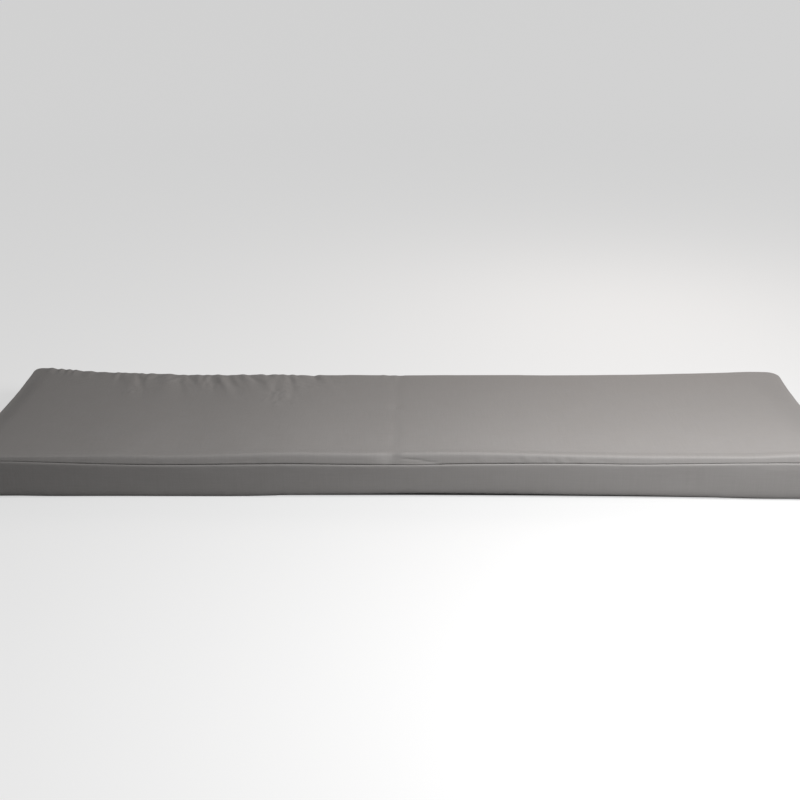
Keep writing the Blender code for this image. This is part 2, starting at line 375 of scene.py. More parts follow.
# ---- shader helpers ----
class Wire:
    # one output of a shader node, which takes part in sums
    def __init__(self, shader, socket):
        self.shader = shader
        self.socket = socket

    def maths(self, operation, *values):
        return self.shader.node("ShaderNodeMath", {"operation": operation}, dict(enumerate(values)))

    def __add__(self, other):
        return self.maths("ADD", self, other)

    def __radd__(self, other):
        return self.maths("ADD", other, self)

    def __sub__(self, other):
        return self.maths("SUBTRACT", self, other)

    def __rsub__(self, other):
        return self.maths("SUBTRACT", other, self)

    def __mul__(self, other):
        return self.maths("MULTIPLY", self, other)

    def __rmul__(self, other):
        return self.maths("MULTIPLY", other, self)

    def sine(self):
        return self.maths("SINE", self)

    def size(self):
        return self.maths("ABSOLUTE", self)

    def larger(self, other):
        return self.maths("MAXIMUM", self, other)


class Shader:
    # a material's node tree, with one method for every kind of node
    def __init__(self, name):
        self.material = bpy.data.materials.new(name)
        self.material.use_nodes = True
        self.tree = self.material.node_tree
        self.surface = self.tree.nodes["Principled BSDF"]

    def feed(self, node, inputs):
        for key, value in inputs.items():
            if isinstance(value, Wire):
                self.tree.links.new(value.socket, node.inputs[key])
            else:
                node.inputs[key].default_value = value

    def node(self, kind, settings=None, inputs=None, output=0):
        made = self.tree.nodes.new(kind)
        for key, value in (settings or {}).items():
            setattr(made, key, value)
        self.feed(made, inputs or {})
        return Wire(self, made.outputs[output])

    def noise(self, place, detail=2.0, roughness=0.5):
        values = {"Vector": place, "Scale": 1.0, "Detail": detail, "Roughness": roughness}
        return self.node("ShaderNodeTexNoise", {}, values, "Fac")

    def scaled(self, place, factors):
        values = {0: place, 1: factors}
        return self.node("ShaderNodeVectorMath", {"operation": "MULTIPLY"}, values)

    def tinted(self, colour, tone):
        values = {0: colour, "Scale": tone}
        return self.node("ShaderNodeVectorMath", {"operation": "SCALE"}, values)

    def blended(self, factor, first, second):
        made = self.tree.nodes.new("ShaderNodeMix")
        made.data_type = "RGBA"
        pairs = zip(("Factor_Float", "A_Color", "B_Color"), (factor, first, second))
        for identifier, value in pairs:
            socket = next(s for s in made.inputs if s.identifier == identifier)
            if isinstance(value, Wire):
                self.tree.links.new(value.socket, socket)
            else:
                socket.default_value = value
        return Wire(self, next(s for s in made.outputs if s.identifier == "Result_Color"))


# A plain weave of fine polyester yarn, dyed grey before it was woven.
plainCloth = {
    "yarnPitch": 0.00052,
    "yarnDepth": 0.00007,
    "yarnShade": 0.10,  # painted shade: how much darker the cloth is painted between its yarns
    "yarnMiddle": 0.7,  # the mean height of the weave, as a share of the yarn's depth
    "slubWidth": 0.0016,
    "slubLength": 0.060,
    "slubShade": 0.055,
    "slubDepth": 0.4,  # as a share of the yarn's depth
    "patchSize": 0.045,
    "patchDetail": (4.0, 0.55),  # layers of the noise, and how strong its finer ones are
    "patchShade": 0.035,
    "patchRoughness": 0.1,
    "crinkleSize": 0.006,
    "crinkleLayers": 3.0,
    "crinkleDepth": 0.00004,
    "paintedHighlight": 0.05,  # painted highlight: a little lighter, and smoother, along the roll's crest and the border's lip
    "highlightPolish": 0.06,
    "roughness": 0.70,
    "sheen": 0.10,
    "sheenRoughness": 0.35,
    "specular": 0.35,
}


def clothMaterial(name, colour, coolColour, look):
    shader = Shader(name)
    place = shader.node("ShaderNodeUVMap", {"uv_map": "pattern"})
    apart = shader.tree.nodes.new("ShaderNodeSeparateXYZ")
    shader.feed(apart, {0: place})
    along, across = (Wire(shader, apart.outputs[k]) for k in (0, 1))
    turn = math.pi / look["yarnPitch"]
    warp, weft = (along * turn).sine(), (across * turn).sine()
    crossing = warp * weft * 0.5
    weave = (warp.size() * 0.5 + crossing).larger(weft.size() * 0.5 - crossing)

    long, wide = 1 / look["slubLength"], 1 / look["slubWidth"]
    warpSlubs = shader.noise(shader.scaled(place, (wide, long, 1)))
    weftSlubs = shader.noise(shader.scaled(place, (long, wide, 1)))
    slubs = warpSlubs + weftSlubs
    patch = 1 / look["patchSize"]
    patches = shader.noise(shader.scaled(place, (patch, patch, 1)), *look["patchDetail"])
    crinkle = 1 / look["crinkleSize"]
    crinkles = shader.noise(shader.scaled(place, (crinkle, crinkle, 1)), look["crinkleLayers"])
    # painted highlight: the cloth is painted lighter where this attribute is high, and is smoother
    # there
    edgeHighlight = shader.node("ShaderNodeAttribute", {"attribute_name": "edgeHighlight"}, {}, "Fac")

    # two noises of mean 0.5 make up the slubs, so that their own mean is 1
    tone = (
        1
        + (weave - look["yarnMiddle"]) * look["yarnShade"]
        + (slubs - 1) * look["slubShade"] * 2
        + (patches - 0.5) * look["patchShade"] * 2
        + edgeHighlight * look["paintedHighlight"]
    )
    tint = shader.blended(patches, (*colour, 1), (*coolColour, 1))
    height = (
        weave * look["yarnDepth"]
        + slubs * (look["yarnDepth"] * look["slubDepth"])
        + crinkles * look["crinkleDepth"]
    )
    bump = shader.node("ShaderNodeBump", {}, {"Height": height, "Strength": 1.0, "Distance": 1.0})
    uneven = (patches - 0.5) * look["patchRoughness"]
    values = {
        "Base Color": shader.tinted(tint, tone),
        "Roughness": look["roughness"] + uneven - edgeHighlight * look["highlightPolish"],
        "Sheen Weight": look["sheen"],
        "Sheen Roughness": look["sheenRoughness"],
        "Specular IOR Level": look["specular"],
        "Normal": bump,
    }
    shader.feed(shader.surface, values)
    return shader.material


sewingThread = {
    "colour": (0.26, 0.255, 0.25),
    "plyPitch": 0.0006,
    "plyDepth": 0.00006,
    "plyWaves": 0.3,  # waves of the node's pattern to each ply
    # painted shade: the thread is painted darker in the grooves between its plies
    "plyShade": 0.3,
    "roughness": 0.55,
    "plyRoughness": 0.1,
}


def threadMaterial(look):
    shader = Shader("sewing thread")
    place = shader.node("ShaderNodeTexCoord", {}, {}, "Object")
    twist = 1 / look["plyPitch"]
    plies = shader.node(
        "ShaderNodeTexWave",
        {"wave_type": "BANDS", "bands_direction": "DIAGONAL"},
        {"Vector": shader.scaled(place, (twist, twist, twist)), "Scale": look["plyWaves"]},
        "Fac",
    )
    raised = {"Height": plies * look["plyDepth"], "Distance": 1.0}
    # painted shade in the grooves between the plies
    shade = 1 - look["plyShade"] / 2 + plies * look["plyShade"]
    values = {
        "Base Color": shader.tinted(look["colour"], shade),
        "Roughness": look["roughness"] + plies * look["plyRoughness"],
        "Normal": shader.node("ShaderNodeBump", {}, raised),
    }
    shader.feed(shader.surface, values)
    return shader.material


panelGreys = (0.260, 0.247, 0.239), (0.252, 0.243, 0.238)
# painted shade: the upright border strips are of the same cloth as the top panel, painted a little
# darker
shadedBorderGreys = (0.250, 0.238, 0.231), (0.242, 0.234, 0.229)
panelCloth = clothMaterial("panel cloth", *panelGreys, plainCloth)
shadedBorderCloth = clothMaterial("border cloth", *shadedBorderGreys, plainCloth)
seamThread = threadMaterial(sewingThread)
print("cloth and thread mixed")


# ---- the filled cushion: top panel, bottom panel and the filling that they enclose ----
# The rolled edge of the top panel, from inside the seam up to the flat of the top: the share of
# its height above the seam, and how far it lies behind the fullest part of the cushion.
Roll = namedtuple("Roll", "share inset")
topRoll = [
    Roll(-0.03, 5.0),
    Roll(0.0, 3.1),
    Roll(0.028, 2.2),
    Roll(0.09, 1.75),
    Roll(0.20, 2.0),
    Roll(0.32, 2.45),
    Roll(0.45, 2.95),
    Roll(0.58, 3.5),
    Roll(0.70, 4.05),
    Roll(0.80, 4.7),
    Roll(0.89, 5.55),
    Roll(0.96, 7.1),
    Roll(0.997, 9.3),
    Roll(1.0, 11.2),
    Roll(1.0, 13.0),
]

# One row for each gather along the back seam, from left to right: where it leaves the seam,
# how far its tip lies to the right, how far it reaches over the top, its half width, and its
# rise above the panel, which is negative in a valley.
Gather = namedtuple("Gather", "start lean reach width rise")
gathers = [
    Gather(-712, 0, 36, 5.4, 1.7),
    Gather(-700, 3, 38, 3.6, -1.7),
    Gather(-692, 0, 34, 3.8, 1),
    Gather(-683, 3, 42, 3.8, -1.8),
    Gather(-675, 2, 44, 4.2, 1.2),
    Gather(-668, 1, 36, 3.4, -1.4),
    Gather(-661, 1, 54, 4.6, 1.2),
    Gather(-646, 2, 48, 4.6, -1.4),
    Gather(-630, 4, 54, 6, 1.2),
    Gather(-618, 4, 46, 5, -1.2),
    Gather(-602, 6, 50, 6, 0.75),
    Gather(-573, 3, 54, 5.4, 3.6),
    Gather(-573, 13, 76, 4.8, -2.4),
    Gather(-562, 20, 72, 5.9, 1.7),
    Gather(-539, 14, 157, 12.2, 2.4),
    Gather(-533, 24, 113, 6, -2.4),
    Gather(-530, 22, 58, 7.3, 2.4),
    Gather(-520, 23, 164, 7.2, -1.4),
    Gather(-508, 1, 98, 6, 2.1),
    Gather(-502, 4, 64, 5.6, 1.4),
    Gather(-478, 19, 86, 15.9, 1.7),
    Gather(-471, 17, 180, 16, 1.7),
    Gather(-453, 39, 176, 9.9, -1.1),
    Gather(-436, 33, 85, 5.6, -1.1),
    Gather(-431, 11, 91, 5.4, -0.3),
    Gather(-414, 21, 87, 7.5, 1.7),
    Gather(-395, 5, 102, 5.7, 0.8),
    Gather(-385, 25, 136, 9.2, -1.7),
    Gather(-385, 29, 56, 16, 1.7),
    Gather(-374, 53, 163, 8.2, 1.7),
    Gather(-355, 42, 136, 8.5, -1.4),
    Gather(-324, 40, 126, 10.1, 1.7),
    Gather(-312, 37, 90, 8.6, -1.7),
    Gather(-287, 42, 142, 8.8, 1.7),
    Gather(-275, 17, 51, 7.3, -1.7),
    Gather(-254, -7, 126, 16, 1.7),
    Gather(-251, 7, 207, 6.4, -0.9),
    Gather(-250, 15, 84, 5.5, -1.6),
    Gather(-249, 28, 163, 9.2, 1.7),
    Gather(-242, 20, 83, 4.7, 1.0),
    Gather(-230, 21, 123, 5.9, -2.2),
    Gather(-222, 24, 111, 10.6, 2.3),
    Gather(-215, 11, 54, 6.7, -2.3),
    Gather(-187, 31, 63, 16, -2.3),
    Gather(-180, 12, 68, 6.2, -2.3),
    Gather(-171, 38, 109, 8.3, 1.9),
    Gather(-39, 0, 38, 4.2, 0.9),
    Gather(-27, 0, 34, 4, -0.6),
    Gather(-14, 0, 52, 4.4, 1.0),
]

# Where the cloth is crumpled more finely, between the gathers and in front of them: place,
# reach each way and depth.
Crumple = namedtuple("Crumple", "along fromBack reachAlong reachAcross depth")
crumples = [
    Crumple(-520, 105, 18, 26, 0.9),
    Crumple(-395, 75, 20, 30, 0.7),
    Crumple(-231, 142, 28, 54, 1.0),
    Crumple(-180, 75, 40, 34, 0.55),
    Crumple(-672, 14, 22, 16, 0.45),
]

# One row for each small fold in the rolled edge at the front: its two ends, as places along the
# edge and distances from the seam over the roll, its half width and its rise.
Fold = namedtuple("Fold", "startAlong startUp endAlong endUp width rise")
frontFolds = [
    Fold(-2, 3.2, 66, 2.8, 1.6, 0.8),
    Fold(3, 10.4, 43, 8.4, 1.3, -0.8),
    Fold(38, 7.0, 63, 5.6, 1.3, -0.6),
    Fold(-52, 1, -4, 1, 1.6, 0.8),
    Fold(-24, 8, -8, 3, 4.0, -0.5),
    Fold(118, 12, 128, 4, 4.0, -0.4),
    Fold(132, 12, 146, 4, 4.0, 0.4),
    Fold(198, 12, 208, 4, 3.5, -0.35),
    Fold(211, 12, 224, 4, 4.0, 0.45),
    Fold(230, 12, 240, 4, 3.5, -0.3),
    Fold(252, 12, 266, 3, 3.4, -0.45),
    Fold(264, 12, 277, 3, 3.2, 0.3),
    Fold(277, 12, 288, 3, 3.4, -0.4),
    Fold(298, 11, 312, 4, 4.0, 0.35),
    Fold(330, 9, 362, 4, 4.0, -0.3),
    Fold(-250, 9, -222, 4, 4.0, -0.35),
    Fold(-420, 8, -396, 4, 4.0, -0.3),
]

# Soft dents: place, reach to either side and across, and depth.
Dent = namedtuple("Dent", "along fromFront reachLeft reachRight reachAcross depth")
dents = [
    Dent(-13, 16, 22, 12, 8, 3.5),
    Dent(-10, 234, 10, 10, 10, 1.0),
]

# The valley behind the rolled edge at the front: its depth and its distance from the edge.
Valley = namedtuple("Valley", "along depth inset")
frontValley = [
    Valley(-750, 0.2, 28),
    Valley(-480, 1.0, 28),
    Valley(-380, 2.0, 28),
    Valley(-270, 1.6, 28),
    Valley(-166, 2.2, 27),
    Valley(-66, 1.5, 27),
    Valley(83, 1.7, 27),
    Valley(200, 2.6, 27),
    Valley(330, 2.7, 28),
    Valley(530, 2.7, 28),
    Valley(750, 2.5, 28),
]

filledCushion = {
    "gatheredStep": 0.0054,  # spacing of the mesh where the cloth is gathered
    "plainStep": 0.0105,
    "edgeStep": 0.0044,
    "fullRise": 0.0175,  # height of the rolled edge at which it takes all its width
    "leastRoll": 0.42,  # the least and the most of that width
    "mostRoll": 1.1,
    "lipInset": 1.75,  # millimetres, as in the table above, and so is the next
    "ridgeInset": 9.3,
    "gentler": 0.22,  # the left half of the front edge rolls over a little more slowly
    "gentlerFrom": -0.06,
    "gentlerOver": 0.12,
    "highlightInset": 9.0,  # millimetres: where the painted highlight lies on the roll, and how far it reaches
    "highlightWidth": 3.0,
    "topHighlight": 0.4,  # share of that painted highlight beside the roll, and its reach over the top
    "topHighlightWidth": 0.006,
    "wallShares": (0.1, 0.85),  # rings on the side of the filling, behind the border
    "wallInset": 0.0062,
    "wallPattern": 0.03,  # keeps the pattern there off the top panel's
    "underGap": 0.0005,  # the bottom panel's roll ends this far below the seam
    "underLip": 0.0045,
    "underSteps": 3,
    "underGridStep": 4,  # the flat underside has every fourth line of the top's grid
    "underShift": 0.6,  # keeps the bottom panel's pattern off the top panel's
    "creaseAt": -0.010,  # where the cushion is folded in two for storage
    "creaseWidth": 0.011,
    "creaseDepth": 0.0009,
    "creaseShare": 0.35,  # how much of that depth is left in the middle of the top
    "creaseSway": 0.002,
    "creaseSways": 40,
    "creaseFrom": 0.020,  # the crease sets in at this distance from the front
    "creaseFade": 0.060,
    "valleyFront": 0.0115,  # reach of the valley towards the front and towards the back
    "valleyBack": 0.060,
    "broadLump": 0.24,
    "broadShape": 0.6,  # the broad lumps are so much shorter across the cushion
    "broadDepth": 0.0006,
    "smallLump": 0.055,
    "smallDepth": 0.00016,
    "reliefFrom": 0.006,  # relief takes this distance from the seams to reach its full height
    "puckerReach": 0.020,
    "puckerDepth": 0.00028,
    "puckerFrom": 0.003,
    "puckerSize": (0.011, 0.05),  # along the seam and away from it
    "puckerShare": 0.6,  # their height as a share of the wider ones'
    "widePuckerSize": (0.027, 0.09),
    "gatheredBefore": 0.4,  # share of each gather that is there before the cloth settles
    "crumpleAlong": 0.0085,
    "crumpleAcross": 0.019,
    "finerCrumple": 0.6,  # size of the finer lumps on those, and their share of the depth
    "finerShare": 0.5,
    "gatherNarrow": 0.75,  # share of a gather's width at the seam, and what it gains along it
    "gatherFlare": 0.55,
    "gatherEnd": 1.2,  # share of its reach at which a gather is gone
    "gatherAtSeam": 0.35,  # share of its rise at the seam
    "gatherFull": 3,  # it has all its rise after one part in so many of its reach
    "broadSeed": 11,
    "smallSeed": 12,
    "crumpleSeed": 15,
    "puckerSeed": 20,
}


def steps(start, end, spacing):
    return list(np.linspace(start, end, max(1, round((end - start) / spacing)) + 1))[:-1]


def gridLines(stretches, last, plainest, step):
    # lines at the spacing of each stretch, which ends where the next one starts. Some are left
    # out from the plainest place on, so that every step-th line includes the last.
    ends = [start for start, spacing in stretches[1:]] + [last]
    lines = [last]
    for (start, spacing), end in reversed(list(zip(stretches, ends))):
        lines = steps(start, end, spacing) + lines
    extra = (len(lines) - 1) % step
    return np.delete(lines, [int(len(lines) * plainest) + (step - 1) * k for k in range(extra)])


def topGrid(look):
    # lines along and across the top, closest where the cloth has most relief
    edge = cushion["rollWidth"]
    right, back = halfLength - edge, halfDepth - edge
    near, plain, gathered = look["edgeStep"], look["plainStep"], look["gatheredStep"]
    columns = (
        (-right, near),  # ripples at the left corner
        (-right + 0.12, plain),
        (-0.60, gathered),  # gathers along the back seam
        (-0.15, plain),
        (-0.055, gathered),  # crease and dent
        (0.07, plain),
        (0.19, gathered),  # folds in the rolled edge
        (0.31, plain),
        (right - 0.02, near),
    )
    rows = ((-back, near), (-back + 0.03, plain), (back - 0.12, gathered))
    step = look["underGridStep"]
    plainColumn, plainRow = 0.8, 0.4
    return gridLines(columns, right, plainColumn, step), gridLines(rows, back, plainRow, step)


def gatherRelief(u, v, look):
    fromBack = halfDepth - v
    atSeam = look["gatherAtSeam"]
    lift = np.zeros(u.shape)
    for gather in gathers:
        reached = fromBack / (gather.reach * mm)
        middle = (gather.start + gather.lean * reached) * mm
        flare = look["gatherNarrow"] + look["gatherFlare"] * np.clip(reached, 0, look["gatherEnd"])
        grown = atSeam + (1 - atSeam) * ease(look["gatherFull"] * reached)
        fade = ease(look["gatherEnd"] - reached) * grown
        lift += gather.rise * mm * fade * bell(u - middle, gather.width * mm * flare)
    return lift


def foldRelief(u, up):
    # a fold is a long soft ridge or trough, with a quarter of its rise left at its tips
    stretched, atTip = 0.5, 0.08
    lift = np.zeros(u.shape)
    for fold in frontFolds:
        start = np.array((fold.startAlong, fold.startUp)) * mm
        run = np.array((fold.endAlong, fold.endUp)) * mm - start
        share = np.clip(((u - start[0]) * run[0] + (up - start[1]) * run[1]) / (run @ run), 0, 1)
        off = np.hypot((u - start[0] - share * run[0]) * stretched, up - start[1] - share * run[1])
        swell = np.sin(math.pi * (atTip + (1 - 2 * atTip) * share))
        lift += fold.rise * mm * bell(off, fold.width * mm) * swell
    return lift


def crumpleRelief(u, fromBack, look):
    along, across, finer = look["crumpleAlong"], look["crumpleAcross"], look["finerCrumple"]
    lumps = softNoise(u, fromBack, along, across, look["crumpleSeed"])
    small = softNoise(u, fromBack, along * finer, across * finer, look["crumpleSeed"] + 1)
    lumps = lumps + small * look["finerShare"]
    zone = np.zeros(u.shape)
    for spot in crumples:
        away = np.hypot(
            (u - spot.along * mm) / (spot.reachAlong * mm),
            (fromBack - spot.fromBack * mm) / (spot.reachAcross * mm),
        )
        zone = np.maximum(zone, spot.depth * mm * bell(away, 1.0))
    return zone * lumps


def panelRelief(u, v, seams, look):
    # what stands above the plain form of the top panel, by where it lies on the flat cloth
    fromFront, fromBack, fromLeft, fromRight = seams
    nearest = np.minimum(np.minimum(fromFront, fromBack), np.minimum(fromLeft, fromRight))
    inside = ease(nearest / look["reliefFrom"])
    lift = foldRelief(u, fromFront) + crumpleRelief(u, halfDepth - v, look) * inside
    lift += gatherRelief(u, v, look) * (1 - look["gatheredBefore"]) * inside
    table = np.array(frontValley) * mm
    depth, inset = (np.interp(u, table[:, 0], table[:, k]) for k in (1, 2))
    behind = v + halfDepth - inset
    lift -= depth * bell(behind, np.where(behind > 0, look["valleyBack"], look["valleyFront"]))
    sway = look["creaseSway"] * np.sin(v * look["creaseSways"])
    crease = bell(u - look["creaseAt"] - sway, look["creaseWidth"])
    crease = crease * ease((fromFront - look["creaseFrom"]) / look["creaseFade"])
    deeper = look["creaseShare"] + (1 - look["creaseShare"]) * np.abs(v / halfDepth)
    lift -= look["creaseDepth"] * deeper * crease * inside
    for dent in dents:
        aside = u - dent.along * mm
        reach = np.where(aside < 0, dent.reachLeft, dent.reachRight) * mm
        away = np.hypot(aside / reach, (fromFront / mm - dent.fromFront) / dent.reachAcross)
        lift -= dent.depth * mm * bell(away, 1.0)
    broad, small = look["broadLump"], look["smallLump"]
    lumps = softNoise(u, v, broad, broad * look["broadShape"], look["broadSeed"])
    lift += look["broadDepth"] * lumps * inside
    lift += look["smallDepth"] * softNoise(u, v, small, small, look["smallSeed"]) * inside
    for k, (distance, alongSeam) in enumerate(zip(seams, (u, u, v, v))):
        seed = look["puckerSeed"] + k
        pucker = softNoise(alongSeam, distance, *look["puckerSize"], seed) * look["puckerShare"]
        pucker = pucker + softNoise(alongSeam, distance, *look["widePuckerSize"], seed + 10)
        fade = ease(distance / look["puckerFrom"]) * bell(distance, look["puckerReach"])
        lift += look["puckerDepth"] * pucker * fade
    return lift


def rollLength():
    # length of cloth over the rolled edge, between the seam and the flat of the top
    rows = np.array(topRoll)
    across = np.diff(rows[:, 1]) * mm
    up = np.diff(rows[:, 0]) * cushion["rollRise"]
    return np.concatenate([[0], np.cumsum(np.hypot(up, across))])


def seamDistances(u, v):
    # along the cloth, from each point to the front, back, left and right seams
    edge = halfDepth - cushion["rollWidth"] + rollLength()[-1]
    end = halfLength - cushion["rollWidth"] + rollLength()[-1]
    return [np.maximum(distance, 0) for distance in (v + edge, edge - v, u + end, end - u)]


def coverForm(look):
    # the points of the cover, where each lies on the flat cloth, how much painted highlight it has,
    # whether it is on the top panel, and the faces between them
    columns, rows = topGrid(look)
    lastX, lastY = len(columns) - 1, len(rows) - 1
    rim = [(i, 0) for i in range(lastX)] + [(lastX, j) for j in range(lastY)]
    rim += [(i, lastY) for i in range(lastX, 0, -1)] + [(0, j) for j in range(lastY, 0, -1)]
    rimI, rimJ = np.array(rim).T
    x, y = columns[rimI], rows[rimJ]
    low, seam = stationSections(x, y)
    top = crestHeight(x, y)
    outX, outY = outwards(x, y)
    edgeX, edgeY = rounded(x, y, cushion["rollWidth"])
    points, pattern, edgeHighlight, onTop = [], [], [], []

    def addPoints(planX, planY, height, flatX, flatY, highlit, isTop):
        size = len(planX)
        points.append(np.stack([planX, planY, height + 0 * planX], 1))
        pattern.append(np.stack([flatX, flatY], 1))
        edgeHighlight.append(highlit + np.zeros(size))
        onTop.append(np.full(size, float(isTop)))

    def addRing(inset, height, unrolled, shift, highlit, isTop):
        planX, planY = drawnIn(*rounded(x, y, inset))
        flatX, flatY = edgeX + outX * unrolled, edgeY + outY * unrolled + shift
        addPoints(planX, planY, height, flatX, flatY, highlit, isTop)

    for angle in np.linspace(0, math.pi / 2, look["underSteps"] + 1):
        inset = cushion["underRoll"] - (cushion["underRoll"] - look["underLip"]) * math.sin(angle)
        height = (low - look["underGap"]) * (1 - math.cos(angle))
        addRing(inset, height, cushion["rollWidth"] - inset, -look["underShift"], 0, False)
    for share in look["wallShares"]:
        unrolled = look["wallPattern"] + (1 - share) * cushion["wallHeight"]
        addRing(look["wallInset"], low + (seam - low) * share, unrolled, 0, 0, False)
    lengths = rollLength()
    lip, ridge = look["lipInset"], look["ridgeInset"]
    gentler = 1 + look["gentler"] * ease((look["gentlerFrom"] - x) / look["gentlerOver"]) * (y < 0)
    narrow = np.clip((top - seam) / look["fullRise"] * gentler, look["leastRoll"], look["mostRoll"])
    for row, arc in zip(topRoll, lengths):
        flatter = ease((row.inset - ridge) / (topRoll[-1].inset - ridge))
        inset = (lip + (row.inset - lip) * narrow) * (1 - flatter) + row.inset * flatter
        # painted highlight along the crest of the roll
        highlit = bell(row.inset - look["highlightInset"], look["highlightWidth"])
        addRing(inset * mm, seam + (top - seam) * row.share, lengths[-1] - arc, 0, highlit, True)

    ringCount, ringSize = len(points), len(rim)
    following = np.roll(np.arange(ringSize), -1)
    quad = np.stack([np.arange(ringSize), following, following, np.arange(ringSize)], 1)
    faces = []
    for level in range(ringCount - 1):
        lower, upper = level * ringSize, (level + 1) * ringSize
        faces += (quad + np.array([lower, lower, upper, upper])).tolist()

    # the top's grid, whose rim is the last ring
    grid = np.full((lastX + 1, lastY + 1), -1)
    grid[rimI, rimJ] = (ringCount - 1) * ringSize + np.arange(ringSize)
    innerI, innerJ = np.meshgrid(np.arange(1, lastX), np.arange(1, lastY), indexing="ij")
    gx, gy = columns[innerI].ravel(), rows[innerJ].ravel()
    grid[1:-1, 1:-1] = ringCount * ringSize + np.arange(len(gx)).reshape(innerI.shape)
    inset = np.minimum(halfLength - np.abs(gx), halfDepth - np.abs(gy))
    flatX, flatY = rounded(gx, gy, inset)
    # painted highlight on the top beside the roll
    highlit = bell(inset - cushion["rollWidth"], look["topHighlightWidth"]) * look["topHighlight"]
    addPoints(*drawnIn(flatX, flatY), crestHeight(gx, gy), flatX, flatY, highlit, True)
    corner = [grid[:-1, :-1], grid[1:, :-1], grid[1:, 1:], grid[:-1, 1:]]
    faces += np.stack([c.ravel() for c in corner], 1).tolist()

    # the underside's grid is coarser, and many-sided faces join it to the first ring
    step = look["underGridStep"]
    ux, uy = np.meshgrid(columns[::step][1:-1], rows[::step][1:-1], indexing="ij")
    under = np.full((lastX // step + 1, lastY // step + 1), -1)
    under[1:-1, 1:-1] = sum(len(p) for p in points) + np.arange(ux.size).reshape(ux.shape)
    flatX, flatY = ux.ravel(), uy.ravel()
    addPoints(*drawnIn(flatX, flatY), 0, flatX, flatY - look["underShift"], 0, False)
    ringOf = {place: k for k, place in enumerate(rim)}
    countX, countY = (size - 1 for size in under.shape)
    turns = (((0, 0), (1, 0)), ((1, 0), (0, 1)), ((1, 1), (-1, 0)), ((0, 1), (0, -1)))
    for i in range(countX):
        for j in range(countY):
            outline = []
            for (di, dj), (da, db) in turns:
                a, b = i + di, j + dj
                onRim = (db == 0 and b in (0, countY)) or (da == 0 and a in (0, countX))
                if onRim:
                    outline += [ringOf[a * step + da * k, b * step + db * k] for k in range(step)]
                elif under[a, b] >= 0:
                    outline.append(int(under[a, b]))
                else:
                    outline.append(ringOf[a * step, b * step])
            faces.append(outline[::-1])
    return (*(np.concatenate(part) for part in (points, pattern, edgeHighlight, onTop)), faces)


# What the cloth does by itself: the top panel is cut a little too wide where it is gathered onto
# the back seam, and it settles on the filling, which holds it softly, with the seams held fast.
clothSettling = {
    "frames": 16,
    "drawnInBy": 7,
    "quality": 6,
    "mass": 0.15,
    "stretch": 30.0,
    "shear": 8.0,
    "bending": 0.25,
    "damping": 4.0,
    "fillingGrip": 0.30,  # how hard the filling holds the cloth above it
    "seamReach": 0.004,  # the cloth is held fast within this of the seam
    "extraCloth": 0.024,  # share of the panel's width, where it is gathered most
    "gatheredFrom": -0.640,
    "gatheredTo": -0.140,
    "gatheredReach": 0.110,
    "gatheredFade": 1.3,  # share of that reach at which nothing is gathered any more
    "endFade": 0.05,  # the gathered cloth runs out over this length at either end
    "endShift": 0.7,
    "mostMove": 0.0012,
}


def settleCloth(piece, seamDistance, onTop, look):
    mesh = piece.data
    u, v = patternOf(mesh).T
    size = len(mesh.vertices)
    before = np.zeros(size * 3, np.float32)
    mesh.vertices.foreach_get("co", before)
    firm = np.where(onTop > 0.5, look["fillingGrip"], 1.0)
    firm = np.where(seamDistance < look["seamReach"], 1.0, firm)
    held = piece.vertex_groups.new(name="held")
    for index in range(size):
        held.add([index], float(firm[index]), "REPLACE")

    # the panel starts as wide as it was cut, and is then drawn in to the seam that it is sewn to
    middle = (look["gatheredFrom"] + look["gatheredTo"]) / 2
    half = (look["gatheredTo"] - look["gatheredFrom"]) / 2
    fromBack = (halfDepth - v) / look["gatheredReach"]
    gathered = ease(look["gatheredFade"] - fromBack) * (onTop > 0.5)
    fade, shift = look["endFade"], look["endShift"]
    spread = ease((u - look["gatheredFrom"]) / fade + shift)
    spread = spread * ease((look["gatheredTo"] - u) / fade + shift)
    outward = np.sin(np.clip((u - middle) / half, -1, 1) * math.pi / 2)
    cut = before.reshape(-1, 3).copy()
    cut[:, 0] += look["extraCloth"] * gathered * half * outward
    mesh.vertices.foreach_set("co", cut.ravel())
    piece.shape_key_add(name="cut")
    sewn = piece.shape_key_add(name="sewn")
    sewn.data.foreach_set("co", before)
    for number, share in ((1, 0.0), (look["drawnInBy"], 1.0)):
        sewn.value = share
        sewn.keyframe_insert("value", frame=number)
    modifier = piece.modifiers.new("settling", "CLOTH")
    settings = modifier.settings
    settings.quality = look["quality"]
    settings.mass = look["mass"]
    settings.tension_stiffness = settings.compression_stiffness = look["stretch"]
    settings.shear_stiffness = look["shear"]
    settings.bending_stiffness = look["bending"]
    settings.tension_damping = settings.compression_damping = look["damping"]
    settings.vertex_group_mass = held.name
    settings.effector_weights.gravity = 0.0
    modifier.collision_settings.use_collision = False
    modifier.point_cache.frame_start = 1
    modifier.point_cache.frame_end = look["frames"]
    scene = bpy.context.scene
    for number in range(1, look["frames"] + 1):
        scene.frame_set(number)
    graph = bpy.context.evaluated_depsgraph_get()
    settled = piece.evaluated_get(graph).data
    after = np.zeros(size * 3, np.float32)
    settled.vertices.foreach_get("co", after)
    move = (after - before).reshape(-1, 3) * (gathered * spread)[:, None]
    length = np.linalg.norm(move, axis=1)
    kept = np.tanh(length / look["mostMove"]) * look["mostMove"]
    move *= (kept / np.maximum(length, 1e-9))[:, None]
    piece.modifiers.clear()
    piece.vertex_groups.clear()
    piece.shape_key_clear()
    for action in list(bpy.data.actions):
        bpy.data.actions.remove(action)
    scene.frame_set(1)
    mesh.vertices.foreach_set("co", (before.reshape(-1, 3) + move).ravel())
    mesh.update()
    print("cloth settled: it moved by up to", round(float(kept.max()) / mm, 2), "mm")


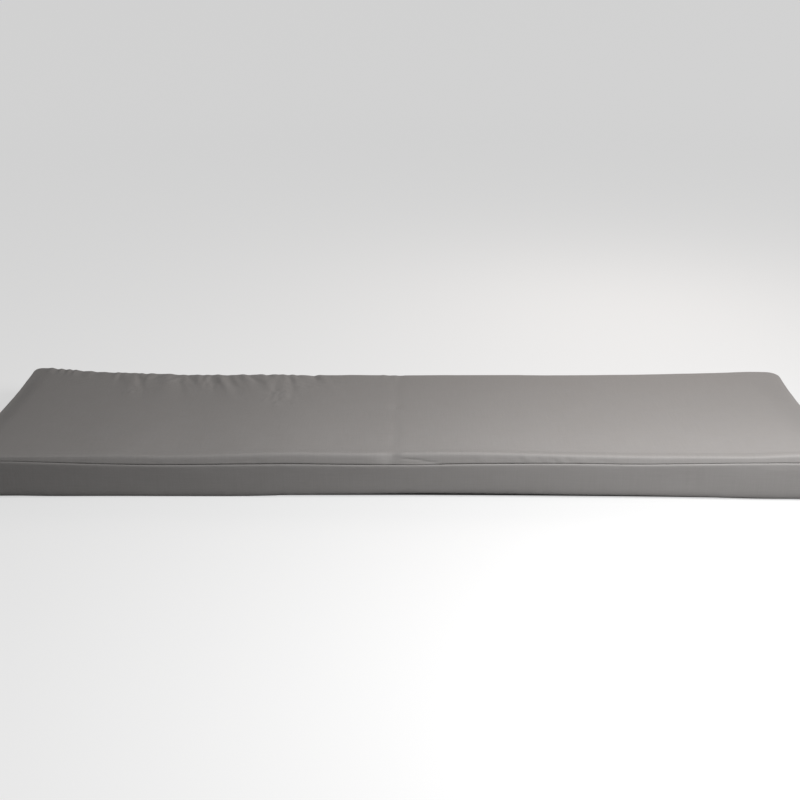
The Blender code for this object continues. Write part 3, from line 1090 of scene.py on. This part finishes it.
def buildFilledCushion(look):
    points, pattern, edgeHighlight, onTop, faces = coverForm(look)
    piece = meshPiece("filled_cushion_cover", points, faces, pattern, edgeHighlight, panelCloth)
    mask = piece.data.attributes.new("on_top", "FLOAT", "POINT")
    mask.data.foreach_set("value", onTop.astype(np.float32))
    started = gatherRelief(*pattern.T, look) * look["gatheredBefore"]
    raiseAlongNormals(piece, started * onTop)
    settleCloth(piece, np.min(seamDistances(*pattern.T), 0), onTop, clothSettling)
    refined(piece)

    u, v = patternOf(piece.data).T
    seams = seamDistances(u, v)
    onPanel = readPoints(piece.data, "on_top") > 0.99
    raiseAlongNormals(piece, panelRelief(u, v, seams, look) * onPanel)
    piece.data.attributes.remove(piece.data.attributes["on_top"])
    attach(piece, "root")
    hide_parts("filled_cushion")
    return piece


cover = buildFilledCushion(filledCushion)
print("filled cushion sewn:", len(cover.data.polygons), "faces")


# ---- the border strips between the two seams ----
# The face of a border strip from its lower to its upper seam: the share of its height, and how
# far it lies behind the fullest part of the cushion.
FaceRow = namedtuple("FaceRow", "share inset")
borderFace = [
    FaceRow(0.03, 4.1),
    FaceRow(-0.005, 2.6),
    FaceRow(0.005, 1.2),
    FaceRow(0.05, 0.1),
    FaceRow(0.14, -0.5),
    FaceRow(0.28, -0.42),
    FaceRow(0.48, -0.12),
    FaceRow(0.68, 0.04),
    FaceRow(0.85, 0.12),
    FaceRow(0.938, 0.25),
    FaceRow(0.976, 0.8),
    FaceRow(0.993, 1.9),
    FaceRow(0.994, 2.9),
    FaceRow(0.975, 3.7),
]
borderStrips = {
    "spacing": 0.003,
    "faceSteps": 2,
    "hiddenShares": (0.93, 0.7, 0.45, 0.2, 0.06),  # rows down the back of the strip
    "hiddenInset": 2.5,  # millimetres
    "cornerGap": 0.0004,
    "curlReach": 0.0035,  # the ends of each strip turn in to the corner seams
    "curlDepth": 0.0014,
    "waveLump": 0.13,
    "waveDepth": 0.0005,
    "puckerDepth": 0.00022,
    "puckerReach": 0.009,
    "puckerFrom": 0.002,
    "puckerSize": (0.010, 0.05),  # along the seam and away from it
    "widePuckerSize": (0.025, 0.05),
    "flatLip": 0.4,  # millimetres by which the front strip's lip is flatter at its right end
    "flatLipFrom": 0.575,
    "flatLipOver": 0.05,
    "lipShare": 0.9,  # the lip is what lies above this share of the height
    # painted highlight along the lip of the strip: where it lies as a share of the height, and its
    # reach
    "highlightShare": 0.99,
    "highlightWidth": 0.02,
    "tuckAt": -0.199,  # a small tuck in the lower edge of the front strip
    "tuckWidth": 0.004,
    "tuckDepth": 0.0014,
    "seamTurn": 0.008,  # cloth of a strip that turns over into its two seams
    "firstSeed": 100,
    "seedStep": 7,
    "seamSeeds": (50, 60),  # added to a strip's seed for the puckers at its lower and upper seam
}


def sideStations(side, spacing):
    # places along one side of the top's grid, from corner to corner, and closer near these
    closer = 0.03
    endX, endY = halfLength - cushion["rollWidth"], halfDepth - cushion["rollWidth"]
    longSide = side in ("front", "back")
    end = endX if longSide else endY
    near = steps(-end, -end + closer, spacing / 2)
    far = [-place for place in near[::-1]]
    places = np.array(near + steps(-end + closer, end - closer, spacing) + far)
    if longSide:
        return places, np.full(len(places), endY if side == "back" else -endY)
    return np.full(len(places), endX if side == "right" else -endX), places


def buildBorder(side, seed, look):
    x, y = sideStations(side, look["spacing"])
    low, seam = stationSections(x, y)
    count = len(x)
    face = smoothRows(borderFace, look["faceSteps"])
    hidden = [(share, look["hiddenInset"]) for share in look["hiddenShares"]]
    outline = np.concatenate([face, np.array(hidden)])
    firstX, firstY = drawnIn(*rounded(x, y, 0.0))
    along = np.concatenate([[0], np.cumsum(np.hypot(np.diff(firstX), np.diff(firstY)))])
    fromEnd = np.minimum(along, along[-1] - along)
    curl = look["curlDepth"] * (1 - ease(fromEnd / look["curlReach"]))
    if side == "front":
        low = low + look["tuckDepth"] * bell(x - look["tuckAt"], look["tuckWidth"])
    height = seam - low
    wave = look["waveDepth"] * softNoise(along, along * 0, look["waveLump"], 1.0, seed)
    points, pattern, edgeHighlight = [], [], []
    up = 0.0
    for k, (share, inset) in enumerate(outline):
        if k:
            shareBelow, insetBelow = outline[k - 1]
            rise = (share - shareBelow) * cushion["wallHeight"]
            up += math.hypot(rise, (inset - insetBelow) * mm)
        onFace = k < len(face)
        ripple = wave * math.sin(math.pi * min(max(share, 0), 1)) if onFace else 0 * wave
        for towards, offset in zip((share, 1 - share), look["seamSeeds"]):
            distance = np.full(count, towards * cushion["wallHeight"])
            pucker = softNoise(along, distance, *look["puckerSize"], seed + offset)
            wide = softNoise(along, distance, *look["widePuckerSize"], seed + offset + 1)
            fade = ease(distance / look["puckerFrom"]) * bell(distance, look["puckerReach"])
            ripple = ripple + look["puckerDepth"] * (pucker + wide) * (fade * onFace)
        if side == "front" and onFace and share > look["lipShare"]:
            inset = inset + look["flatLip"] * ease((x - look["flatLipFrom"]) / look["flatLipOver"])
        planX, planY = drawnIn(*rounded(x, y, inset * mm + curl - ripple))
        points.append(np.stack([planX, planY, low + height * share], 1))
        pattern.append(np.stack([along, np.full(count, up)], 1))
        # painted highlight along the strip's lip
        highlit = float(bell(share - look["highlightShare"], look["highlightWidth"]))
        edgeHighlight.append(np.full(count, highlit * onFace))
    levels = len(outline)
    index = np.arange(levels * count).reshape(levels, count)
    points = np.array(points)
    for end, beside in ((0, 1), (-1, -2)):
        step = points[:, beside] - points[:, end]
        points[:, end] += step / np.linalg.norm(step, axis=1)[:, None] * look["cornerGap"]
    ring = np.concatenate([index, index[:1]])
    corners = [ring[:-1, :-1], ring[:-1, 1:], ring[1:, 1:], ring[1:, :-1]]
    quads = np.stack(corners, -1).reshape(-1, 4)
    if side in ("back", "left"):
        quads = quads[:, ::-1]
    faces = quads.tolist() + [index[:, 0].tolist(), index[::-1, -1].tolist()]
    if side in ("back", "left"):
        faces[-2:] = [f[::-1] for f in faces[-2:]]
    piece = meshPiece(
        "border_strip_" + side,
        points.reshape(-1, 3),
        faces,
        np.array(pattern).reshape(-1, 2),
        np.array(edgeHighlight).ravel(),
        shadedBorderCloth,
    )
    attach(piece, "root")
    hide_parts("border_" + side)
    return piece


sides = ("front", "right", "back", "left")
seeds = [borderStrips["firstSeed"] + borderStrips["seedStep"] * k for k in range(len(sides))]
strips = [buildBorder(side, seed, borderStrips) for side, seed in zip(sides, seeds)]
print("border strips sewn:", sum(len(s.data.polygons) for s in strips), "faces")


# ---- the sewing, as short stitches laid along the seams by Geometry Nodes ----
seamSewing = {
    "pitch": 0.0030,
    "stitchLength": 0.0024,
    "threadThickness": 0.0004,
    "seed": 5,
    "topInset": 0.0042,
    "topRise": 0.0002,
    "lowInset": 0.0043,
    "lowDrop": 0.0001,
    "pathStep": 0.006,
    "cornerInset": 0.0024,  # the corner seams, which run up from one seam to the other
    "cornerEnds": 0.003,
    "cornerPoints": 12,
    "dip": 1.2,  # thread thicknesses by which a stitch's ends dip into the cloth
    "bowPoints": 4,
    "threadSides": 6,
    "shortest": 0.85,  # of the stitch's length, and the same for the longest
    "longest": 1.12,
}


def seamPaths(look):
    # the lines that the needle followed: round the upper and the lower seam, and up each corner
    runs = [sideStations(side, look["pathStep"]) for side in sides]
    loop = [(x, y) if k < 2 else (x[::-1], y[::-1]) for k, (x, y) in enumerate(runs)]
    x, y = (np.concatenate([run[k][:-1] for run in loop]) for k in (0, 1))
    low, seam = stationSections(x, y)
    upper = (look["topInset"], seam + look["topRise"])
    lower = (look["lowInset"], low - look["lowDrop"])
    paths = []
    for inset, height in (upper, lower):
        planX, planY = drawnIn(*rounded(x, y, inset))
        paths.append((np.stack([planX, planY, height], 1), True))
    count, clear = look["cornerPoints"], look["cornerEnds"]
    for side, at in (("front", 0), ("front", -1), ("back", 0), ("back", -1)):
        stations = sideStations(side, look["pathStep"])
        cornerX, cornerY = (np.array([places[at]]) for places in stations)
        low, seam = stationSections(cornerX, cornerY)
        planX, planY = drawnIn(*rounded(cornerX, cornerY, look["cornerInset"]))
        heights = np.linspace(low[0] + clear, seam[0] - clear, count)
        upright = [np.full(count, planX[0]), np.full(count, planY[0]), heights]
        paths.append((np.stack(upright, 1), False))
    return paths


def stitchSizes(look):
    return {
        "Pitch": look["pitch"],
        "Stitch length": look["stitchLength"],
        "Thread": look["threadThickness"],
    }


def sewingTree(look):
    # stitches on a path: named sizes in, one mesh of short bent threads out
    tree = bpy.data.node_groups.new("stitches along a seam", "GeometryNodeTree")
    tree.interface.new_socket("Geometry", in_out="INPUT", socket_type="NodeSocketGeometry")
    for name, value in stitchSizes(look).items():
        socket = tree.interface.new_socket(name, in_out="INPUT", socket_type="NodeSocketFloat")
        socket.default_value = value
    tree.interface.new_socket("Material", in_out="INPUT", socket_type="NodeSocketMaterial")
    tree.interface.new_socket("Geometry", in_out="OUTPUT", socket_type="NodeSocketGeometry")

    def node(kind, settings=None, inputs=None):
        made = tree.nodes.new(kind)
        for key, value in (settings or {}).items():
            setattr(made, key, value)
        for key, value in (inputs or {}).items():
            if isinstance(value, bpy.types.NodeSocket):
                tree.links.new(value, made.inputs[key])
            else:
                made.inputs[key].default_value = value
        return made

    def times(value, factor):
        return node("ShaderNodeMath", {"operation": "MULTIPLY"}, {0: value, 1: factor}).outputs[0]

    given = node("NodeGroupInput").outputs
    line = node("GeometryNodeMeshToCurve", {}, {"Mesh": given["Geometry"]}).outputs[0]
    marks = node(
        "GeometryNodeResampleCurve", {"mode": "LENGTH"}, {"Curve": line, "Length": given["Pitch"]}
    ).outputs[0]
    half = times(given["Stitch length"], 0.5)
    dip = times(given["Thread"], -look["dip"])
    back = times(half, -1.0)
    start = node("ShaderNodeCombineXYZ", {}, {"X": dip, "Z": back}).outputs[0]
    finish = node("ShaderNodeCombineXYZ", {}, {"X": dip, "Z": half}).outputs[0]
    middle = node("ShaderNodeCombineXYZ", {}, {"X": given["Thread"]}).outputs[0]
    bow = node(
        "GeometryNodeCurveQuadraticBezier",
        {},
        {"Resolution": look["bowPoints"], "Start": start, "Middle": middle, "End": finish},
    ).outputs[0]
    ring = node(
        "GeometryNodeCurvePrimitiveCircle",
        {},
        {"Resolution": look["threadSides"], "Radius": times(given["Thread"], 0.5)},
    ).outputs[0]
    thread = node(
        "GeometryNodeCurveToMesh", {}, {"Curve": bow, "Profile Curve": ring, "Fill Caps": True}
    ).outputs[0]
    tangent = node("GeometryNodeInputTangent").outputs[0]
    turned = node("FunctionNodeAlignEulerToVector", {"axis": "Z"}, {"Vector": tangent}).outputs[0]
    spread = node(
        "FunctionNodeRandomValue",
        {"data_type": "FLOAT"},
        {2: look["shortest"], 3: look["longest"], "Seed": look["seed"]},
    ).outputs[1]
    placed = node(
        "GeometryNodeInstanceOnPoints",
        {},
        {"Points": marks, "Instance": thread, "Rotation": turned, "Scale": spread},
    ).outputs[0]
    whole = node("GeometryNodeRealizeInstances", {}, {"Geometry": placed}).outputs[0]
    dressed = node(
        "GeometryNodeSetMaterial", {}, {"Geometry": whole, "Material": given["Material"]}
    ).outputs[0]
    node("NodeGroupOutput", {}, {"Geometry": dressed})
    return tree


def buildSewing(look):
    mesh = bpy.data.meshes.new("seam paths")
    points, edges = [], []
    for path, closed in seamPaths(look):
        first = len(points)
        points += path.tolist()
        edges += [(first + k, first + k + 1) for k in range(len(path) - 1)]
        if closed:
            edges.append((len(points) - 1, first))
    mesh.from_pydata(points, edges, [])
    line = bpy.data.objects.new("seam_paths", mesh)
    bpy.context.scene.collection.objects.link(line)
    modifier = line.modifiers.new("stitches", "NODES")
    tree = sewingTree(look)
    modifier.node_group = tree
    values = {**stitchSizes(look), "Material": seamThread}
    for item in tree.interface.items_tree:
        if item.in_out == "INPUT" and item.name in values:
            modifier[item.identifier] = values[item.name]
    graph = bpy.context.evaluated_depsgraph_get()
    made = bpy.data.meshes.new_from_object(line.evaluated_get(graph))
    bpy.data.objects.remove(line)
    piece = bpy.data.objects.new("seam_stitches", made)
    bpy.context.scene.collection.objects.link(piece)
    made.shade_smooth()
    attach(piece, "root")
    return piece


stitches = buildSewing(seamSewing)
print("seams stitched:", len(stitches.data.polygons), "faces")


# ---- floor and light ----
studio = {
    "floorRadius": 4.2,
    "sweepRadius": 1.6,
    "wallHeight": 4.0,
    "floorColour": (0.28, 0.28, 0.28),
    "floorGlow": 0.58,  # a pale glow of the floor's own, which doesn't reach the cushion
    "floorRoughness": 0.9,
    "floorGloss": 0.1,
    "innerRadius": 0.5,
    "floorRings": 8,
    "sweepRings": 12,
    "turns": 96,
    "keyPlace": (0.7, -0.815, 0.93),
    "keyRadius": 0.30,
    "keyPower": 83.5,
    "backPlace": (0.6, 0.9, 0.9),
    "backRadius": 0.30,
    "backPower": 17.0,
    "backColour": (1.0, 0.9, 0.83),
    "skyLight": 0.188,
    "groundLight": 0.045,
    "horizonBlend": 0.3,
}


def buildFloor(look):
    # a flat floor that sweeps up into a round backdrop
    radii = np.linspace(look["innerRadius"], look["floorRadius"], look["floorRings"])
    profile = [(0.0, 0.0)] + [(radius, 0.0) for radius in radii]
    for angle in np.linspace(0, math.pi / 2, look["sweepRings"])[1:]:
        run = look["sweepRadius"] * math.sin(angle)
        profile.append((look["floorRadius"] + run, look["sweepRadius"] * (1 - math.cos(angle))))
    profile.append((look["floorRadius"] + look["sweepRadius"], look["wallHeight"]))
    turns = look["turns"]
    points, faces = [(0.0, 0.0, 0.0)], []
    for radius, height in profile[1:]:
        for k in range(turns):
            angle = 2 * math.pi * k / turns
            points.append((radius * math.cos(angle), radius * math.sin(angle), height))
    for k in range(turns):
        faces.append((0, 1 + k, 1 + (k + 1) % turns))
    for level in range(len(profile) - 2):
        a, b = 1 + level * turns, 1 + (level + 1) * turns
        faces += [(a + k, b + k, b + (k + 1) % turns, a + (k + 1) % turns) for k in range(turns)]
    mesh = bpy.data.meshes.new("floor")
    mesh.from_pydata(points, [], faces)
    mesh.shade_smooth()
    shader = Shader("studio floor")
    values = {
        "Base Color": (*look["floorColour"], 1),
        "Roughness": look["floorRoughness"],
        "Specular IOR Level": look["floorGloss"],
        "Emission Color": (1, 1, 1, 1),
        "Emission Strength": look["floorGlow"],
    }
    shader.feed(shader.surface, values)
    mesh.materials.append(shader.material)
    floor = bpy.data.objects.new("floor", mesh)
    floor.visible_diffuse = False  # neither its glow nor its reflection reaches the cushion
    floor.visible_glossy = False
    bpy.context.scene.collection.objects.link(floor)


def buildLights(look):
    for name, colour in (("key", (1, 1, 1)), ("back", look["backColour"])):
        data = bpy.data.lights.new(name + " light", "POINT")
        data.energy = look[name + "Power"]
        data.shadow_soft_size = look[name + "Radius"]
        data.color = colour
        lamp = bpy.data.objects.new(name + "_light", data)
        lamp.location = look[name + "Place"]
        lamp.visible_camera = False
        bpy.context.scene.collection.objects.link(lamp)

    # soft light from all round, brighter from above than from below
    world = bpy.data.worlds.new("studio air")
    world.use_nodes = True
    tree = world.node_tree
    place = tree.nodes.new("ShaderNodeTexCoord")
    apart = tree.nodes.new("ShaderNodeSeparateXYZ")
    height = tree.nodes.new("ShaderNodeMapRange")
    tree.links.new(place.outputs["Generated"], apart.inputs[0])
    tree.links.new(apart.outputs["Z"], height.inputs["Value"])
    height.inputs["From Min"].default_value = -look["horizonBlend"]
    height.inputs["From Max"].default_value = look["horizonBlend"]
    height.inputs["To Min"].default_value = look["groundLight"]
    height.inputs["To Max"].default_value = look["skyLight"]
    background = tree.nodes["Background"]
    background.inputs["Color"].default_value = (1, 1, 1, 1)
    tree.links.new(height.outputs["Result"], background.inputs["Strength"])
    bpy.context.scene.world = world


buildFloor(studio)
buildLights(studio)
bpy.context.scene.view_settings.view_transform = "Standard"
print("floor and light set")
